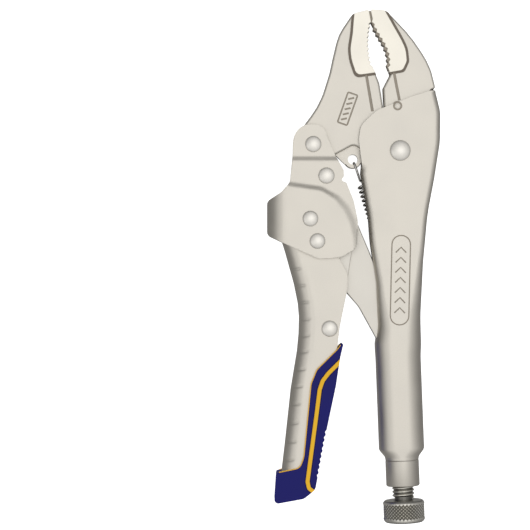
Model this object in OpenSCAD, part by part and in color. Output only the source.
// Ten-inch curved-jaw locking pliers, shut and locked, lying on one side.
// +Z is up, +Y runs along the tool towards the jaw tips, +X runs towards the fixed handle's spine.
// The origin is the middle of the underside of the bounding box.
// Every piece is symmetric about the plane z = mid_z, so most sizes in Z are given as a distance from it.

/* [Overall] */
// Height of the tool's middle plane above the surface it lies on
mid_z = 10.8; // [10.8:0.1:14]
// Running clearance between a rivet and the hole that turns on it
running = 0.05; // [0.02:0.01:0.1]

/* [Sheet and plate levels, each from the middle plane] */
// Half thickness of the toggle link
link_half = 3; // [2:0.1:3.1]
// Inner face of the liner plates
liner_in = 3.3; // [3.2:0.1:3.6]
// Outer face of the liner plates
liner_out = 4.8; // [4.2:0.1:4.9]
// Inner face of the moving handle's walls
handle_in = 5; // [5:0.1:5.4]
// Outer face of the moving handle's walls
handle_out = 7; // [6.4:0.1:7.1]
// Inner face of the lever's raised plates, which straddle the moving handle
lever_in = 7.2; // [7.2:0.1:7.4]
// Outer face of the lever's raised plates
lever_out = 9.2; // [8.6:0.1:9.2]
// Inner face of the lever's middle step, round the link rivet
step_in = 5.8; // [5.4:0.1:6]
// Outer face of the lever's middle step
step_out = 7.8; // [7.4:0.1:8]
// Half thickness of the movable jaw's shank
jaw_half = 4.5; // [3.5:0.1:4.5]
// Half thickness of the jaws' ground gripping faces
bite_half = 5.2; // [4.7:0.1:5.6]
// Half thickness of the spring lug on the movable jaw
lug_half = 2.4; // [1.5:0.1:2.5]
// Inner face of the fixed handle's cheeks, and of the lever's ears
cheek_in = 4.6; // [4.6:0.1:4.8]
// Outer face of the fixed handle's cheeks, and of the lever's ears
cheek_out = 6.6; // [6:0.1:7]
// Half height of the fixed handle's tube
tube_out = 8.5; // [8.1:0.1:9]
// Sheet thickness of both handles
wall = 2; // [1.5:0.1:2]
// Half thickness of the moulded grip
grip_half = 8.4; // [7.8:0.1:8.8]

/* [Pivots and rivets] */
// Main pivot of the movable jaw, in the fixed handle
jaw_pivot = [23.2, 57.4]; // [22:0.1:24]
// Rivet from the movable jaw to the lever
lever_pivot = [-20, 60.6]; // [-21:0.1:62]
// Rivet from the lever to the toggle link
link_pivot = [-13.5, 44.9]; // [-14:0.1:46]
// Rivet on which the moving handle tips in the lever to release the tool
release_pivot = [-21.5, 23.5]; // [-22:0.1:24]
// Rivet that stops the release movement
stop_rivet_at = [-18, 12.4]; // [-19:0.1:13]
// Rivet that holds the liner plates in the handle
liner_rivet_at = [-11.9, -31.1]; // [-32:0.1:-11]
// Dowel that locates the fixed jaw
dowel_at = [21.9, 79.6]; // [21:0.1:80]
// Radius of the main pivot's shank
main_shank = 4; // [3:0.1:4.2]
// Radius of the main pivot's head
main_head = 5.1; // [4.8:0.1:6]
// Radius of the other rivets' shanks
rivet_shank = 2.5; // [2:0.1:2.8]
// Radius of the other rivets' heads
rivet_head = 4; // [3.6:0.1:4.4]
// Height of the main pivot's heads
main_head_h = 3; // [2:0.1:3.2]
// Height of the other rivets' heads
rivet_head_h = 1.6; // [1:0.1:1.6]
// Radius of the dowel
dowel_r = 2.4; // [1.5:0.1:2.6]
// How far the handle tips in the lever, in degrees
release_angle = 5; // [2:0.5:6]

/* [Jaws] */
// Number of teeth on each jaw
teeth = 10; // [6:1:12]
// Depth of the teeth
tooth_h = 0.9; // [0.5:0.1:1]
// Radius of the movable jaw's boss round the main pivot
boss_r = 13; // [10:0.5:13]
// Radius of the movable jaw's eye round the lever rivet
eye_r = 8.6; // [7:0.1:8.8]
// Centre of the hole for the spring's hook
lug_at = [-0.2, 53.1]; // [-1:0.1:54]
// Radius of that hole
lug_hole = 2.5; // [2:0.1:2.6]
// Width of the metal round that hole
lug_rim = 2; // [1.5:0.1:2.2]

/* [Adjusting screw] */
// Tip of the screw, where the toggle link bears on it
screw_tip = [22.5, -44.5]; // [-50:0.1:24]
// Angle between the screw and the tool's length, in degrees
screw_tilt = 2.2; // [1.5:0.1:3]
// Radius of the thread
thread_r = 5.55; // [5:0.05:5.6]
// Distance from the tip to the knob
knob_from = 72.35; // [68:0.05:73]
// Length of the knob
knob_len = 11.2; // [8:0.1:12]
// Radius of the knob
knob_r = 10.4; // [8:0.1:10.4]

/* [Fixed handle tube] */
// Half width of the tube
tube_half_w = 11.3; // [10:0.1:12]
// Distance from the screw's tip to the start of the shoulder
shoulder_from = 46.5; // [44:0.5:48]
// Distance from the screw's tip to the collar
collar_from = 52; // [50:0.5:54]
// Distance from the screw's tip to the end of the collar
collar_to = 65.3; // [62:0.1:67]
// Radius of the collar
collar_r = 8.35; // [7.5:0.05:8.5]
// Width of the slit where the rolled edges of the tube meet
slit_w = 1.2; // [0.8:0.1:2]
// Half width of the channel's mouth between its rolled edges
mouth_half = 3.6; // [3.4:0.1:4]

/* [Spring] */
// Mean radius of the coil
coil_r = 1.8; // [1.6:0.1:2.2]
// Radius of the spring wire
wire_r = 0.55; // [0.4:0.05:0.6]
// Number of turns
turns = 17; // [10:1:20]
// Centre of the tab that holds the spring's lower end
tab_at = [18.5, -7]; // [-8:0.1:20]

/* [Grip] */
// Width of the coloured stripe
stripe_w = 2.2; // [1.5:0.1:3]
// Depth of the stripe's groove in the grip
stripe_depth = 0.6; // [0.3:0.1:0.8]

/* [Hidden] */
$fn = 48;
far = 40;                       // longer than anything it cuts through
steel = [0.87, 0.85, 0.80];
mouth_top = 47;                 // above this the channel has no rolled edges
mouth_end = -42.5;              // below this the rolled edges meet and make a tube
cut_to = 18;                    // the mouth and the slit are cut from the left as far as this x
overlap = 4;                    // how far the tube reaches up into the channel
tab = [2.2, 4];                 // size of the lanced tab that holds the spring
tab_top = 1.4;                  // height of the tab's end above the middle plane
lever_fold = [51.8, 54.8];      // the lever steps out from its ears between these two y
wrap = [-43, 14.5, 17];         // the lever's wall behind the handle: x, y and length
tip_chamfer = 1.5;              // at the screw's tip
knob_chamfer = 1;
neck = [2, 3];                  // the screw's plain neck: how far above the knob it starts, and its length

// Outlines: [x, y, corner radius], anticlockwise.
fixed_spine = [[34.6, -44, 0], [33.6, -25, 60], [34.8, 2, 60], [37, 26, 60], [40.4, 44, 30], [43.2, 62, 20],
               [43.3, 77, 14], [40.6, 88, 1.2]];
fixed_top = [[28, 83.9, 8], [11.5, 77.4, 6], [3.6, 70, 7], [2.6, 63, 8]];
fixed_edge = [[4.2, 50, 4], [3.6, 46, 3], [7.4, 25, 40], [8.4, 12, 20], [11.4, -8, 20], [12.2, -30, 12],
              [10.8, -38, 4], [10.9, -44, 0]];
side_profile = [[-44, 8.5], [-28, 8.3], [16, 6.6], [92, 6.6]];  // y and half height of the fixed handle

jaw_bite = [[8.2, 122.8], [10, 120.4], [11.5, 117.3], [13.5, 113.8], [15.4, 110.8], [16.5, 108.5],
            [17.4, 105.9], [17.9, 103.1], [17.9, 100.1], [17.3, 97.4]];
jaw_back = [[40.9, 88.2, 1], [40.2, 93.5, 30], [36.8, 102.5, 40], [28.2, 115, 40], [16.6, 127.2, 6],
            [8.2, 127.8, 1]];
jaw_ground = [[4, 130, 0], [10, 95, 0], [19, 96.6, 0], [24.6, 97.6, 2.6], [26.6, 102, 4], [26, 108, 12],
              [23.6, 113, 30], [20.4, 118.6, 30], [15.6, 127.2, 0], [14, 131, 0]];
jaw_throat = [[18.2, 95.4, 0.6], [14.7, 88.6, 1], [15.2, 79.8, 0], [17.2, 68, 0], [30, 66, 0],
              [40.4, 66, 0.5], [41, 74, 0], [40.6, 80, 0], [38.4, 87.4, 0.5]];

moving_bite = [[8.9, 99.3], [7.9, 102.4], [7.4, 106.2], [7.1, 110], [7.2, 113.9], [7.6, 117.7], [8, 121.5]];
moving_back = [[8, 127.6, 1], [-0.5, 125.6, 5], [-7.6, 115, 20], [-10.2, 104, 60], [-13, 91, 60],
               [-18, 79, 40], [-26.5, 67.6, 6], [-26, 57, 4], [-13, 53.2, 3], [-9.1, 55.3, 2], [0.1, 60.3, 3],
               [4, 58, 3], [12, 50, 3], [23, 48, 3], [29, 60, 3], [17.2, 68, 0], [14.8, 79.8, 0.5],
               [13, 91, 1], [10.8, 96.6, 0.6]];

moving_ground = [[15, 130, 0], [0.9, 130, 0], [0.1, 122, 6], [-0.4, 115.5, 20], [-1.6, 108, 14],
                 [-0.9, 102.5, 8], [1.6, 95, 3], [10.4, 96.2, 0], [16, 99, 0]];
spring_lug = [[-9, 55.4, 0], [-4.2, 50.8, 1], [3.9, 51, 1], [4, 60.4, 0], [0, 61, 0]];

lever_ear = [[-9.6, 51.5, 0], [-9.1, 55.1, 2], [-13.2, 64.6, 8], [-14.6, 70.2, 6], [-26, 71, 9],
             [-30, 64, 9], [-30, 57, 8], [-31, 51.5, 0]];
lever_step = [[-38, 41.6], [-16, 38.4], [-8.4, 34], [-3.6, 28.6], [-0.4, 22], [3, 13]];
lever_plate = [[-9.4, 55.3, 1], [-30, 55.3, 1], [-31.6, 41.5, 6], [-36, 36.6, 6], [-43, 32.2, 4],
               [-43, 15.2, 3], [-34.8, 11.4, 20], [-17.6, 3.6, 6], [-6.4, 4.2, 8], [1.4, 9, 4], [2.2, 22, 12],
               [0, 32.4, 6], [-3.6, 41.4, 1], [-6.4, 42.4, 1], [-4.8, 44.6, 1.5], [-5, 47.6, 2]];

handle_spine = [[-24, 36.8, 2], [-31.5, 36.4, 5], [-38.2, 31, 6], [-39.2, 23, 14], [-34.2, 7.5, 20],
                [-29.6, -9, 40], [-27, -22, 30], [-27.4, -38, 60], [-31.2, -61, 80], [-34, -87, 80],
                [-37, -112.6, 2]];
handle_edge = [[-23.4, -110.6, 2], [-19.6, -103, 10], [-15.2, -82, 60], [-10.4, -58, 60], [-7.8, -38, 20],
               [-6.8, -30, 20], [-3, -11, 8], [-2.9, -4, 3], [-11, 11, 20], [-12.6, 22, 10], [-15, 31, 4]];
handle_outline = concat(handle_spine, handle_edge);
handle_hollow = concat([[far, handle_spine[0].y + wall, 0]],
                       [for (i = [1:len(handle_spine) - 1]) handle_spine[i]], [[far, -112.6, 0]]);
liner_outline = [[-27, 16, 4], [-24, -5, 20], [-18.5, -31, 6], [-13, -38, 3.5], [-8.8, -33, 5], [-3.2, -8, 8],
                 [-0.4, 10, 4], [-4, 18, 8], [-14, 31, 6], [-26, 32, 6]];
link_outline = [[-19.6, 39, 4], [-12, 6, 20], [-3.6, -13.2, 6], [2.6, -20.2, 10], [13.2, -39.5, 4],
                [18.6, -43, 4], [23.6, -38, 5], [16.2, -14, 20], [9.4, 3.9, 30], [2, 21.5, 30], [-7, 46, 6]];

grip_outline = [[-4.6, -36.8, 0.5], [-8, -41.4, 2], [-18.2, -51.6, 4], [-21, -58.5, 5], [-24.6, -95, 8],
                [-26.6, -100.4, 4], [-38.4, -102.8, 1], [-39.5, -118.3, 1.5], [-24.6, -115.6, 5],
                [-19, -111, 4], [-14.4, -86, 40], [-8.8, -59.5, 40], [-6.6, -45, 20]];
stripe_path = [[-6, -46.7], [-12.6, -53.3], [-15.4, -57], [-16.9, -61.4], [-18.3, -72.6], [-20, -85.2],
               [-21.8, -98.6], [-22.9, -107], [-22.2, -110.3], [-19.6, -112.2]];

// Geometry helpers.
function xy(p) = [p[0], p[1]];
function unit(v) = v / norm(v);
function turn_of(a, b) = (b - a + 540) % 360 - 180;
// The corner b between a and c as an arc of radius r.
function corner(a, b, c, r) =
    let (u = unit(a - b), w = unit(c - b), half = acos(max(-1, min(1, u * w))) / 2)
    r <= 0 || half > 88 ? [b] :
    let (o = b + unit(u + w) * r / sin(half),
         s = b + u * r / tan(half) - o,
         e = b + w * r / tan(half) - o,
         start = atan2(s.y, s.x),
         turn = turn_of(start, atan2(e.y, e.x)),
         n = max(1, ceil(abs(turn) / 12)))
    [for (i = [0:n]) o + r * [cos(start + turn * i / n), sin(start + turn * i / n)]];
function rounded(p) = let (n = len(p))
    [for (i = [0:n - 1]) each corner(xy(p[(i + n - 1) % n]), xy(p[i]), xy(p[(i + 1) % n]), p[i][2])];
// An anticlockwise outline with every side moved inwards by d.
function inset(p, d) = let (n = len(p))
    [for (i = [0:n - 1])
        let (b = xy(p[i]), t = unit(b - xy(p[(i + n - 1) % n])), v = unit(xy(p[(i + 1) % n]) - b),
             m = [-t.y, t.x], k = [-v.y, v.x], q = b + (m + k) * d / (1 + m * k))
        [q.x, q.y, p[i][2]]];
function shifted(p, v) = [for (q = p) [q[0] + v[0], q[1] + v[1], q[2]]];
// The place and direction at distance s along a path.
function along(p, s, i = 0) = let (d = norm(p[i + 1] - p[i]))
    s <= d || i == len(p) - 2 ? [p[i] + (p[i + 1] - p[i]) * s / d, unit(p[i + 1] - p[i])] : along(p, s - d, i + 1);
function length(p, i = 0) = i == len(p) - 1 ? 0 : norm(p[i + 1] - p[i]) + length(p, i + 1);
// A path cut into teeth that stand out to its left by h.
function toothed(p, n, h) = let (full = length(p))
    [for (k = [0:2 * n]) let (q = along(p, full * k / (2 * n)), t = q[1])
        let (c = q[0] + [-t.y, t.x] * (k % 2 == 0 ? -h / 2 : h / 2)) [c.x, c.y, 0]];
// A band of width w along a path.
function side_of(p, i, w) =
    let (t = unit((i > 0 ? unit(p[i] - p[i - 1]) : [0, 0]) + (i < len(p) - 1 ? unit(p[i + 1] - p[i]) : [0, 0])))
    p[i] + [-t.y, t.x] * w;
function band(p, w) = concat([for (i = [0:len(p) - 1]) side_of(p, i, -w / 2)],
                             [for (i = [len(p) - 1:-1:0]) side_of(p, i, w / 2)]);
function arc_slot(centre, r, from, to, half) =
    concat([for (i = [0:8]) centre + (r + half) * dir(from + (to - from) * i / 8)],
           [for (i = [1:7]) centre + r * dir(to) + half * dir(to + 22.5 * i)],
           [for (i = [8:-1:0]) centre + (r - half) * dir(from + (to - from) * i / 8)],
           [for (i = [1:7]) centre + r * dir(from) + half * dir(from + 180 + 22.5 * i)]);
function dir(a) = [cos(a), sin(a)];

// Level from lo to hi, measured from the middle plane.
module level(lo, hi) translate([0, 0, mid_z + lo]) linear_extrude(hi - lo) children();
module both_sides(lo, hi) {
    level(lo, hi) children();
    level(-hi, -lo) children();
}
module shape(p) polygon(rounded(p));
module disc(at, r) translate(at) circle(r);
// A frame on the screw's axis: its +Z runs from the tip to the knob.
module on_screw(s = 0) translate([screw_tip.x, screw_tip.y, mid_z]) rotate([90, 0, screw_tilt])
    translate([0, 0, s]) children();
module rivet(at, shank_r, head_r, seat, head_h) {
    level(-seat, seat) disc(at, shank_r);
    for (up = [0, 1]) translate([at.x, at.y, mid_z]) mirror([0, 0, up]) translate([0, 0, seat]) {
        cylinder(h = head_h / 2, r = head_r);
        translate([0, 0, head_h / 2]) cylinder(h = head_h / 2, r1 = head_r, r2 = head_r * 0.8);
    }
}

// The fixed handle: a pressed channel whose edges roll in and meet as a tube, with a threaded collar.
module side_band(less) translate([-far, 0, mid_z]) rotate([90, 0, 90]) linear_extrude(3 * far)
    polygon(concat([for (p = side_profile) [p.x, p.y - less]],
                   [for (i = [len(side_profile) - 1:-1:0]) [side_profile[i].x, less - side_profile[i].y]]));
module stadium(half_w, r) {
    square([2 * (half_w - r), 2 * r], center = true);
    for (side = [-1, 1]) translate([side * (half_w - r), 0]) circle(r);
}
module fixed_handle() color(steel) {
    outer = concat(fixed_spine, fixed_top, fixed_edge);
    hollow = concat(shifted(fixed_spine, [-wall, 0]), [[28, 95, 0], [-6, 95, 0], [-6, mouth_top, 0]],
                    shifted([for (p = fixed_edge) if (p.y < mouth_top - 1) p], [wall, 0]));
    difference() {
        union() {
            intersection() {
                level(-far, far) shape(outer);
                side_band(0);
            }
            on_screw(-overlap) linear_extrude(shoulder_from + overlap) stadium(tube_half_w, tube_out);
            intersection() {
                on_screw(shoulder_from)
                    cylinder(h = collar_from - shoulder_from, r1 = tube_half_w, r2 = collar_r);
                level(-tube_out, tube_out) translate([-far, -3 * far]) square([3 * far, 3 * far]);
            }
            on_screw(shoulder_from) cylinder(h = collar_to - shoulder_from, r = collar_r);
        }
        intersection() {
            level(-far, far) shape(hollow);
            side_band(wall);
        }
        on_screw(-overlap - 1) linear_extrude(shoulder_from + overlap) stadium(tube_half_w - wall, tube_out - wall);
        on_screw(shoulder_from - overlap) cylinder(h = far, r = thread_r + running);
        level(-mouth_half, mouth_half) translate([-far, mouth_end])
            square([far + cut_to, mouth_top - mouth_end + 1]);
        level(-slit_w / 2, slit_w / 2) translate([-far, screw_tip.y - shoulder_from])
            square([far + cut_to, shoulder_from + overlap]);
        level(-far, far) disc(jaw_pivot, main_shank);
        level(-far, far) disc(dowel_at, dowel_r);
    }
    // the lanced tab that the spring's lower hook goes round
    level(0.8 - cheek_in - wall, tab_top) translate(tab_at) square(tab, center = true);
}

// The jaws.
module fixed_jaw() color([0.93, 0.91, 0.85]) {
    outline = concat(jaw_back, toothed(jaw_bite, teeth, -tooth_h), jaw_throat);
    difference() {
        union() {
            level(-cheek_in, cheek_in) shape(outline);
            level(-bite_half, bite_half) intersection() {
                shape(outline);
                shape(jaw_ground);
            }
        }
        level(-far, far) disc(jaw_pivot, boss_r + 0.5);
        level(-far, far) disc(dowel_at, dowel_r);
    }
}
module movable_jaw() color([0.9, 0.88, 0.82]) {
    outline = concat(moving_back, toothed(moving_bite, teeth, tooth_h));
    difference() {
        union() {
            level(-jaw_half, jaw_half) {
                shape(outline);
                disc(jaw_pivot, boss_r);
                disc(lever_pivot, eye_r);
            }
            level(-bite_half, bite_half) intersection() {
                shape(outline);
                shape(moving_ground);
            }
            level(-lug_half, lug_half) {
                disc(lug_at, lug_hole + lug_rim);
                shape(spring_lug);
            }
        }
        level(-far, far) disc(jaw_pivot, main_shank + running);
        level(-far, far) disc(lever_pivot, rivet_shank + running);
        level(-far, far) disc(lug_at, lug_hole);
    }
}

// The lever: a pressed saddle that carries the moving handle. It steps out twice, from its ears to the
// plates round the link rivet, and from those to the raised plates over the handle.
module lever_raised() intersection() {
    shape(lever_plate);
    polygon(concat(lever_step, [[far, 13], [far, -far], [-2 * far, -far], [-2 * far, 41.6]]));
}
module lever_bracket() color(steel) difference() {
    union() {
        both_sides(cheek_in, cheek_out) shape(lever_ear);
        both_sides(step_in, step_out) difference() {
            shape(lever_plate);
            lever_raised();
        }
        both_sides(lever_in, lever_out) lever_raised();
        both_sides(cheek_in, step_out) intersection() {
            shape(lever_plate);
            translate([-far, lever_fold[0]]) square([2 * far, lever_fold[1] - lever_fold[0]]);
        }
        both_sides(step_in, lever_out) intersection() {
            shape(lever_plate);
            polygon(band(lever_step, wall));
        }
        level(-lever_out, lever_out) intersection() {
            shape(lever_plate);
            translate([wrap[0], wrap[1]]) square([wall, wrap[2]]);
        }
    }
    for (at = [lever_pivot, link_pivot, release_pivot, stop_rivet_at])
        level(-far, far) disc(at, rivet_shank);
}

// The moving handle, its liner plates and its moulded grip.
function release_slot(half) =
    let (v = stop_rivet_at - release_pivot, a = atan2(v.y, v.x))
    arc_slot(release_pivot, norm(v), a, a + release_angle, half);
module handle_holes() {
    level(-far, far) disc(release_pivot, rivet_shank + running);
    level(-far, far) disc(liner_rivet_at, rivet_shank);
    level(-far, far) polygon(release_slot(rivet_shank + 2 * running));
}
module moving_handle() color(steel) difference() {
    level(-handle_out, handle_out) shape(handle_outline);
    level(-handle_in, handle_in) shape(inset(handle_hollow, wall));
    handle_holes();
}
module liner_plate(side) color([0.8, 0.78, 0.73]) difference() {
    level(side > 0 ? liner_in : -liner_out, side > 0 ? liner_out : -liner_in) shape(liner_outline);
    handle_holes();
}
module liner_plate_front() liner_plate(1);
module liner_plate_back() liner_plate(-1);
// The grip is moulded round the handle's free edges and fills the channel behind them.
module handle_grip() color([0.14, 0.14, 0.42]) difference() {
    level(-grip_half, grip_half) shape(grip_outline);
    moving_handle();
    both_sides(grip_half - stripe_depth, far) stripe_shape();
}
module stripe_shape() intersection() {
    polygon(band(stripe_path, stripe_w));
    shape(grip_outline);
}
module grip_stripe_front() color([0.96, 0.72, 0.16]) level(grip_half - stripe_depth, grip_half + 0.1) stripe_shape();
module grip_stripe_back() color([0.96, 0.72, 0.16]) level(-grip_half - 0.1, stripe_depth - grip_half) stripe_shape();

// The toggle link, whose lower end bears on the screw.
module toggle_link() color(steel) difference() {
    level(-link_half, link_half) {
        shape(link_outline);
        disc(link_pivot, 6.5);
    }
    level(-far, far) disc(link_pivot, rivet_shank + running);
}

// Rivets and dowel.
module jaw_dowel() color(steel) level(-cheek_out, cheek_out) disc(dowel_at, dowel_r);
module jaw_pivot_rivet() color(steel) rivet(jaw_pivot, main_shank, main_head, cheek_out, main_head_h);
module lever_rivet() color(steel) rivet(lever_pivot, rivet_shank, rivet_head, cheek_out, rivet_head_h);
module link_rivet() color(steel) {
    rivet(link_pivot, rivet_shank, rivet_head, step_out, rivet_head_h);
    both_sides(link_half + 0.1, step_in) disc(link_pivot, rivet_shank + 2);
}
module release_rivet() color(steel) rivet(release_pivot, rivet_shank, rivet_head - 0.15, lever_out, rivet_head_h);
module stop_rivet() color(steel) rivet(stop_rivet_at, rivet_shank, rivet_head - 0.15, lever_out, rivet_head_h);
module liner_rivet() color(steel) rivet(liner_rivet_at, rivet_shank, rivet_head, handle_out, rivet_head_h);

// The adjusting screw, with its knurled knob in one piece.
module adjusting_screw() color([0.62, 0.61, 0.58]) on_screw() {
    cylinder(h = tip_chamfer, r1 = thread_r - tip_chamfer, r2 = thread_r);
    translate([0, 0, tip_chamfer]) cylinder(h = knob_from - neck[0] - tip_chamfer, r = thread_r);
    translate([0, 0, knob_from - neck[0]]) cylinder(h = neck[1], r = thread_r - 1);
    translate([0, 0, knob_from]) {
        cylinder(h = knob_chamfer, r1 = knob_r - knob_chamfer, r2 = knob_r);
        translate([0, 0, knob_chamfer]) cylinder(h = knob_len - 2 * knob_chamfer, r = knob_r);
        translate([0, 0, knob_len - knob_chamfer])
            cylinder(h = knob_chamfer, r1 = knob_r, r2 = knob_r - knob_chamfer);
    }
}

// The spring: a hook through the lug, the coil, and a hook round the tab in the fixed handle.
coil_top = [4.2, 40.5];
coil_end = [15.4, 4];
ring_segments = 9;
pull = unit(coil_top - lug_at);  // the direction in which the spring pulls on the lug
in_hole = lug_hole - wire_r - 0.15;
in_front = lug_half + wire_r + 0.15;
function at_lug(along_pull, z) = let (p = lug_at + pull * along_pull) [p.x, p.y, z];
upper_hook = [at_lug(4.2, -in_front), at_lug(in_hole + 0.8, -in_front), at_lug(in_hole, -lug_half),
              at_lug(in_hole, lug_half), at_lug(in_hole + 0.8, in_front), at_lug(5.4, in_front),
              at_lug(8.5, 2.2), at_lug(11, 0.4)];
function coil_point(k) =
    let (axis = unit(coil_end - coil_top), a = 360 * k / ring_segments,
         p = coil_top + (coil_end - coil_top) * k / (turns * ring_segments) + [-axis.y, axis.x] * coil_r * cos(a))
    [p.x, p.y, coil_r * sin(a)];
lower_hook = [for (i = [0:8]) let (p = tab_at + 3.2 * dir(100 - 220 * i / 8)) [p.x, p.y, 0]];
spring_path = concat(upper_hook, [for (k = [0:turns * ring_segments]) coil_point(k)], lower_hook);
function ring_at(p, i) =
    let (t = unit((i < len(p) - 1 ? p[i + 1] : p[i]) - (i > 0 ? p[i - 1] : p[i])),
         u = unit(cross(t, abs(t.z) < 0.8 ? [0, 0, 1] : [1, 0, 0])), v = cross(t, u))
    [for (a = [0:60:300]) p[i] + wire_r * (u * cos(a) + v * sin(a)) + [0, 0, mid_z]];
module jaw_spring() color([0.45, 0.45, 0.44]) {
    n = len(spring_path);
    polyhedron(
        points = [for (i = [0:n - 1]) each ring_at(spring_path, i)],
        faces = concat([[for (j = [0:5]) j], [for (j = [5:-1:0]) 6 * (n - 1) + j]],
                       [for (i = [0:n - 2], j = [0:5]) let (a = 6 * i + j, b = 6 * i + (j + 1) % 6) [a, a + 6, b + 6, b]]));
}

fixed_handle();
fixed_jaw();
jaw_dowel();
jaw_pivot_rivet();
movable_jaw();
lever_bracket();
lever_rivet();
link_rivet();
release_rivet();
stop_rivet();
moving_handle();
liner_plate_front();
liner_plate_back();
liner_rivet();
handle_grip();
grip_stripe_front();
grip_stripe_back();
toggle_link();
adjusting_screw();
jaw_spring();
